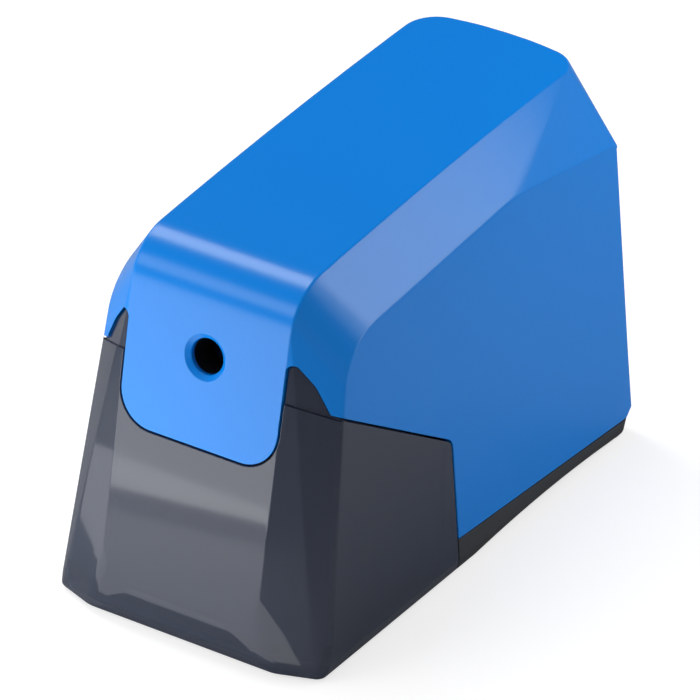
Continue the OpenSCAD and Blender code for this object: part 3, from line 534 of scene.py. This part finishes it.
def material(name, base, rough, metal=0.0, **extra):
    """Material with one Principled shader. Extra inputs are named as on the shader, with underscores."""
    mat = bpy.data.materials.new(name)
    mat.use_nodes = True
    tree = mat.node_tree
    tree.nodes.clear()
    shader = add(tree, "ShaderNodeBsdfPrincipled",
                 {"Base Color": colour(base), "Roughness": rough, "Metallic": metal,
                  **{key.replace("_", " "): value for key, value in extra.items()}})
    add(tree, "ShaderNodeOutputMaterial", {"Surface": shader.outputs["BSDF"]})
    return mat, tree, shader


BUMP_HEIGHT = 0.05 * MM


def surfaced(name, base, rough, metal=0.0, grain_mm=0.6, bump=0.15, spread=0.05, **extra):
    """Material whose surface has a grain of a real size, as a low bump and as a change of roughness."""
    mat, tree, shader = material(name, base, rough, metal, **extra)
    coord = add(tree, "ShaderNodeTexCoord")
    noise = add(tree, "ShaderNodeTexNoise",
                {"Vector": coord.outputs["Object"], "Scale": 1 / (grain_mm * MM), "Detail": 3})
    if bump:
        height = add(tree, "ShaderNodeBump",
                     {"Height": noise.outputs["Fac"], "Strength": bump, "Distance": BUMP_HEIGHT})
        tree.links.new(height.outputs["Normal"], shader.inputs["Normal"])
    sheen = add(tree, "ShaderNodeMapRange",
                {"Value": noise.outputs["Fac"], "To Min": rough - spread, "To Max": rough + spread})
    tree.links.new(sheen.outputs["Result"], shader.inputs["Roughness"])
    return mat


# ABS moulded against a finely blasted tool: even colour with a soft, slightly wide highlight. The blasting
# is about 0.05 mm and is drawn ten times as coarse, so that it just breaks the highlight.
BLUE = surfaced("blue_abs_satin", "#0085E8", 0.25, grain_mm=0.5, bump=0.08, spread=0.03,
                Specular_IOR_Level=0.42)
# Clear polystyrene tinted grey and moulded in a polished tool: dark see-through walls with clean highlights.
# Its slow change of gloss is the flow of the melt, about as wide as a finger.
SMOKE = surfaced("smoke_polystyrene", "#465068", 0.06, grain_mm=14, bump=0, spread=0.02,
                 Transmission_Weight=0.6, IOR=1.59)
# ABS moulded against an eroded tool: nearly matt, with grain that can be felt (0.1 mm, drawn coarser).
CHARCOAL = surfaced("charcoal_abs_textured", "#33363B", 0.55, grain_mm=0.4, bump=0.4)
# Moulded rubber: dull black that throws back almost no light.
RUBBER = surfaced("black_rubber", "#161617", 0.8, grain_mm=0.8, bump=0.3)
# Nylon with a little glass in it, as moulded: black with a dull gloss.
NYLON = surfaced("black_nylon", "#17181B", 0.45, grain_mm=0.5, bump=0.2)
# Uncoloured ABS, as moulded: warm off-white, half matt.
FRAME_ABS = surfaced("frame_abs_natural", "#D5D3CA", 0.5, grain_mm=0.6, bump=0.2)
# Acetal gears, as moulded: milky white with a waxy highlight.
ACETAL = surfaced("acetal_white", "#E8E5DB", 0.38, grain_mm=0.6, bump=0.1)
# Sintered bronze bush, pressed from powder and oiled: brown-gold with fine open pores (drawn at 0.3 mm).
BRONZE = surfaced("sintered_bronze", "#A8793F", 0.5, 1.0, grain_mm=0.3, bump=0.5)
# Die-cast zinc, tumbled: dull light grey with a soft skin.
ZINC = surfaced("zinc_diecast", "#9EA1A5", 0.42, 1.0, grain_mm=0.7, bump=0.35)
# Ground and hardened tool steel: darker grey with sharp highlights along the blades.
TOOL_STEEL = surfaced("tool_steel_ground", "#84888D", 0.28, 1.0, grain_mm=0.3, bump=0.2)
# Ground steel pins: bright with a narrow highlight.
BRIGHT_STEEL = surfaced("bright_ground_steel", "#C3C6CA", 0.22, 1.0, grain_mm=0.25, bump=0.15)
# Zinc-plated steel sheet and screws: bright grey, a little cloudy from the plating.
PLATED = surfaced("zinc_plated_steel", "#B3B7BB", 0.34, 1.0, grain_mm=1.5, bump=0.15)
# Spring steel with black oxide: near black with a metal sheen.
SPRING = surfaced("black_oxide_spring_steel", "#2E3033", 0.4, 1.0, grain_mm=0.4, bump=0.2)
# Turned brass: warm yellow with a clean highlight.
BRASS = surfaced("machined_brass", "#C49A4E", 0.27, 1.0, grain_mm=0.3, bump=0.15)
# Circuit board under green solder mask: even green, glossy as lacquer.
BOARD = surfaced("green_solder_mask", "#1E5C33", 0.35, grain_mm=0.8, bump=0.1)
# Board parts moulded in filled epoxy: black and slightly rough.
EPOXY = surfaced("black_moulded_epoxy", "#202124", 0.5, grain_mm=0.3, bump=0.3)

NODE_MATERIAL = {
    "rubber_feet": RUBBER, "pencil_guide": NYLON, "drive_frame": FRAME_ABS, "ring_gear": ACETAL,
    "front_bearing": BRONZE, "rear_bearing": BRONZE, "cutter_carrier": ZINC, "cutter_axle": BRIGHT_STEEL,
    "helical_cutter": TOOL_STEEL, "cutter_pinion": BRIGHT_STEEL, "drive_gear": ACETAL, "shaft_clip": SPRING,
    "idler_gear": ACETAL, "idler_pin": BRIGHT_STEEL, "motor_plate": PLATED, "plate_screws": PLATED,
    "motor_can": PLATED, "motor_end_cap": NYLON, "motor_terminals": BRASS, "motor_rotor": BRIGHT_STEEL,
    "motor_pinion": BRASS, "motor_screws": PLATED, "start_lever": ACETAL, "start_switch": NYLON,
    "interlock_plunger": ACETAL, "interlock_switch": NYLON, "rectifier_board": BOARD, "board_parts": EPOXY,
    "board_screws": PLATED, "frame_screws": PLATED, "housing_screws": PLATED, "cord_gland": RUBBER,
}


def dress(obj, mat):
    """Gives an object one material."""
    obj.data.materials.clear()
    obj.data.materials.append(mat)


for node, mat in NODE_MATERIAL.items():
    dress(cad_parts[node], mat)


# ---------------------------------------------------------------- housing, bin and base
def within(name, t):
    """The body's form less a skin of thickness t."""
    return new_object(name, hull(body_points(t)))


def bin_room(name, g=0.0):
    """Everything in front of the shut line, moved outwards by g."""
    front = prism(name, bin_front_outline(g), "y", -FAR, FAR)
    return cut(front, ("INTERSECT", prism("side", bin_side_outline(g), "x", -60, 60)))


def turned_mouth():
    """Pencil mouth: bore with a short cone and a rolled rim."""
    bore, cone, rim = 4.35, 5.6, 5.85
    return lathe("mouth", [(rim, -6), (rim, 0), (cone, 0.1), (bore + 0.15, 0.95), (bore, 1.2), (bore, 9)],
                 PENCIL_AXIS)


def cord_hole():
    """Bore through the rear wall, on which the gland sits."""
    radius, height = 4.6, 15.0
    level = Matrix.Translation(Vector((0, 0, height)) * MM) @ Matrix.Rotation(math.radians(-90), 4, "X")
    return lathe("cord", [(radius, HALF_LEN - 5), (radius, HALF_LEN + 5)], level)


outer = round_hull("outer", body_points(CREASE_R), CREASE_R)
inner = within("inner", WALL)

# Housing: moulded shell with four screw posts on ribs, the pencil mouth and the cord hole
POST_R, POST_TOP = 3.3, 34.0
RIB_T, RIB_FOOT, RIB_REACH = 1.4, 10.0, 8.0
PILOT_R, PILOT_TOP = 1.25, 17.4
ROOM_HALF = 26.1            # half width kept free for the drive

posts = pins("posts", POSTS, POST_R, FLOOR_TOP, POST_TOP)
ribs = [block("rib", (x + min(d, 0), y - RIB_T / 2, RIB_FOOT), (x + max(d, 0), y + RIB_T / 2, POST_TOP))
        for d in (-RIB_REACH, RIB_REACH) for x, y in POSTS]
inside = cut(posts, *[("UNION", rib) for rib in ribs], ("INTERSECT", within("near", WALL / 2)),
             ("DIFFERENCE", block("middle", (-ROOM_HALF, -100, 0), (ROOM_HALF, 100, 90))),
             ("DIFFERENCE", block("front", (-60, -100, 0), (60, BIN_REAR + SHUT, 90))))
housing = cut(copy_of(outer, "housing_shell"), ("DIFFERENCE", inner), ("DIFFERENCE", bin_room("gap", SHUT)),
              ("DIFFERENCE", prism("below", seam_outline(-0.3), "x", -60, 60)), ("UNION", inside),
              ("DIFFERENCE", pins("bores", POSTS, PILOT_R, FLOOR_TOP - 1, PILOT_TOP)),
              ("DIFFERENCE", turned_mouth()), ("DIFFERENCE", cord_hole()))

# Bin: smoke moulding with a floor, a leaning rear wall, and a pair of ears set back above a ledge
EAR_STEP = 0.6              # how far the ears are set back
BIN_GAP = 0.8               # from the bin's rear wall to the drive frame
BIN_FLOOR = FLOOR_TOP + CLEAR
REAR_WALL_TOP = 34.5

crease_y = front_y(BIN_SIDE_FRONT_H) + SETBACK
line_rise = (BIN_SIDE_FRONT_H - BIN_SIDE_REAR_H) / (BIN_REAR - crease_y)
line_h = BIN_SIDE_FRONT_H - 0.4
above_line = [Vector((crease_y, line_h)), Vector((crease_y, 120)), Vector((-100, 120)),
              Vector((-100, line_h + line_rise * (crease_y + 100)))]
ledge = cut(prism("ledge", above_line, "x", -60, 60), ("DIFFERENCE", within("ear", EAR_STEP)))
bin_floor = cut(block("floor", (-100, -100, BIN_FLOOR), (100, 100, BIN_FLOOR + WALL)),
                ("DIFFERENCE", block("behind", (-FAR, -FAR, BULKHEAD - 0.9), (FAR, FAR, 400), PENCIL_AXIS)))
bin_rear = BULKHEAD - BIN_GAP
rear_wall = block("wall", (-100, -100, bin_rear - WALL), (100, 100, bin_rear), PENCIL_AXIS)
slabs = cut(rear_wall, ("UNION", bin_floor), ("INTERSECT", within("near", WALL / 2)),
            ("INTERSECT", bin_room("room")),
            ("INTERSECT", block("range", (-100, -100, BIN_FLOOR), (100, 100, REAR_WALL_TOP))))
under = plate("under", PLATE_HALF + CLEAR, PLATE_FRONT - CLEAR, 90, -5, BIN_FLOOR, PLATE_CORNER)
bin_shell = cut(copy_of(outer, "bin_shell"), ("INTERSECT", bin_room("room")), ("DIFFERENCE", inner),
                ("DIFFERENCE", under), ("UNION", slabs), ("DIFFERENCE", ledge))

# Base: skirt with an arch, floor plate with bosses and board stands, vent slots, recesses for feet and screws
BOSS_FOOT, BOSS_TOP = 1.4, FLOOR_TOP - 0.4
FOOT_BOSS_R, POST_BOSS_R, FLANGE_BOSS_R = 6.2, 4.9, 2.85
FOOT_STEM_R, SCREW_R = 4.6, 1.65
STAND_R, STAND_H, STAND_PILOT_R = 2.6, 4.0, 1.0
PLATE_UNDER = FLOOR_TOP - FLOOR_T
PLATE_REAR = HALF_LEN - WALL - 1
ARCH_RISE = 2.0
SLOT_L, SLOT_W, SLOT_X = 14.0, 2.0, 10.0
SLOT_ROWS = range(15, 36, 5)

arch_half = (HALF_LEN - BIN_REAR) / 2 - 4
arch_r = arch_half ** 2 / (2 * ARCH_RISE) + ARCH_RISE / 2
arch_axis = Vector((0, (HALF_LEN + BIN_REAR) / 2, EDGE_LIFT + ARCH_RISE - arch_r)) * MM
across = Matrix.Translation(arch_axis) @ Matrix.Rotation(math.radians(90), 4, "Y")
arch = lathe("arch", [(arch_r, -60), (arch_r, 60)], across, steps=1440)
slots = [block("slot", (x - SLOT_L / 2, y - SLOT_W / 2, 0), (x + SLOT_L / 2, y + SLOT_W / 2, 9))
         for y in SLOT_ROWS for x in (-SLOT_X, SLOT_X)]
base = cut(copy_of(outer, "base_skirt"), ("INTERSECT", prism("below", seam_outline(), "x", -60, 60)),
           ("DIFFERENCE", inner),
           ("DIFFERENCE", block("clear", (-PLATE_HALF, BIN_REAR - 1, -1),
                                (PLATE_HALF, PLATE_REAR, FLOOR_TOP))),
           ("UNION", plate("plate", PLATE_HALF + 0.05, PLATE_FRONT, PLATE_REAR + 0.05, PLATE_UNDER, FLOOR_TOP,
                           PLATE_CORNER)),
           ("UNION", pins("boss", FEET, FOOT_BOSS_R, BOSS_FOOT, BOSS_TOP)),
           ("UNION", pins("boss", POSTS, POST_BOSS_R, BOSS_FOOT, BOSS_TOP)),
           ("UNION", pins("boss", FLANGE, FLANGE_BOSS_R, BOSS_FOOT, BOSS_TOP)),
           ("UNION", pins("stand", BOARD_PINS, STAND_R, FLOOR_TOP - 1, FLOOR_TOP + STAND_H)),
           ("DIFFERENCE", pins("foot", FEET, FOOT_STEM_R, -1, PLATE_UNDER)),
           ("DIFFERENCE", pins("head", POSTS, POST_R, -1, PLATE_UNDER)),
           ("DIFFERENCE", pins("hole", POSTS, SCREW_R, -1, 20)),
           ("DIFFERENCE", pins("hole", FLANGE, PILOT_R, -1, 20)),
           ("DIFFERENCE", pins("hole", BOARD_PINS, STAND_PILOT_R, FLOOR_TOP, 20)),
           *[("DIFFERENCE", slot) for slot in slots], ("DIFFERENCE", arch))

for piece, mat, body, slot, node in ((housing, BLUE, "shell", "blue_abs", "housing"),
                                     (bin_shell, SMOKE, "bin", "smoke_ps", "shavings_bin"),
                                     (base, CHARCOAL, "shell", "charcoal_abs", "base")):
    soften(piece, "outer")
    shade_like(piece, "outer")
    dress(piece, mat)
    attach(piece, body)
    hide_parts(node)
for tool in (outer, inner):
    bpy.data.objects.remove(tool)

# ---------------------------------------------------------------- stage, light and camera
bm = bmesh.new()
bmesh.ops.create_grid(bm, x_segments=1, y_segments=1, size=6)
floor = new_object("floor", bm)
# Grey paper that shows as white to the camera: the glow is only seen, it throws no light on the object.
floor_mat, tree, shader = material("studio_floor", "#B4B4B4", 0.9)
path = add(tree, "ShaderNodeLightPath")
glow = add(tree, "ShaderNodeEmission",
           {"Color": (0.68, 0.68, 0.68, 1), "Strength": path.outputs["Is Camera Ray"]})
both = add(tree, "ShaderNodeAddShader", {0: shader.outputs["BSDF"], 1: glow.outputs[0]})
tree.links.new(both.outputs[0], tree.nodes["Material Output"].inputs["Surface"])
dress(floor, floor_mat)

# The world is white to the camera and through the bin, and an even soft light otherwise. What shines
# mirrors a pale horizon below a dark ceiling.
WHITE = (1, 1, 1, 1)
SOFT_LIGHT = 0.3
HORIZON, CEILING = 0.55, 0.04

world = bpy.data.worlds.new("studio")
bpy.context.scene.world = world
world.use_nodes = True
tree = world.node_tree
tree.nodes.clear()
path = add(tree, "ShaderNodeLightPath")
where = add(tree, "ShaderNodeTexCoord")
height = add(tree, "ShaderNodeSeparateXYZ", {"Vector": where.outputs["Generated"]})
mirrored = add(tree, "ShaderNodeMapRange", {"Value": height.outputs["Z"], "From Min": 0.05, "From Max": 0.3,
                                            "To Min": HORIZON, "To Max": CEILING})
strength = add(tree, "ShaderNodeMix", {0: path.outputs["Is Glossy Ray"], 2: SOFT_LIGHT,
                                       3: mirrored.outputs["Result"]}, data_type="FLOAT")
lit = add(tree, "ShaderNodeBackground", {"Color": WHITE, "Strength": strength.outputs[0]})
seen = add(tree, "ShaderNodeBackground", {"Color": WHITE, "Strength": 1.0})
through = add(tree, "ShaderNodeMath",
              {0: path.outputs["Is Camera Ray"], 1: path.outputs["Is Transmission Ray"]}, operation="MAXIMUM")
mix = add(tree, "ShaderNodeMixShader", {0: through.outputs[0], 1: lit.outputs[0], 2: seen.outputs[0]})
add(tree, "ShaderNodeOutputWorld", {"Surface": mix.outputs[0]})


def area_light(name, place, width, height, radiance, aim=(0, 0, 0.05)):
    """Softbox at a place in metres that faces the object or another aim, its strength given as radiance."""
    lamp = bpy.data.lights.new(name, "AREA")
    lamp.shape = "RECTANGLE"
    lamp.size = width
    lamp.size_y = height
    lamp.energy = radiance * math.pi * width * height
    obj = bpy.data.objects.new(name, lamp)
    obj.location = place
    obj.rotation_euler = (Vector(aim) - obj.location).to_track_quat("-Z", "Y").to_euler()
    obj.visible_camera = False
    bpy.context.scene.collection.objects.link(obj)


# The lamps light the object, and their mirror images are the bands along its bends.
area_light("overhead_left", (-0.415, 0.104, 0.803), 0.3, 0.7, 6.2)
area_light("front_left", (-0.25, -0.385, 0.36), 0.25, 0.14, 3.0)
area_light("low_front_left", (-0.08, -0.175, 0.055), 0.24, 0.1, 2.4)
area_light("front_card", (-0.05, -0.15, 0.001), 0.17, 0.14, 1.0, (-0.05, -0.15, 1))
area_light("right_card", (0.158, 0.112, 0.166), 0.12, 0.09, 3.3)
area_light("right_fill", (0.8, 0.42, 0.24), 0.4, 0.4, 2.7)

VIEW_TARGET = Vector((5.843, -6.996, 49.977)) * MM
VIEW_AZIMUTH, VIEW_ELEVATION = math.radians(33.825), math.radians(30.945)
VIEW_DISTANCE = 1.6071
VIEW_LENS = 354.9

level = math.cos(VIEW_ELEVATION)
back = Vector((math.sin(VIEW_AZIMUTH) * level, -math.cos(VIEW_AZIMUTH) * level, math.sin(VIEW_ELEVATION)))
lens = bpy.data.cameras.new("view")
lens.sensor_width = 36
lens.lens = VIEW_LENS
camera = bpy.data.objects.new("view", lens)
camera.location = VIEW_TARGET + back * VIEW_DISTANCE
camera.rotation_euler = (-back).to_track_quat("-Z", "Y").to_euler()
bpy.context.scene.collection.objects.link(camera)
bpy.context.scene.camera = camera
bpy.context.scene.view_settings.view_transform = "Standard"
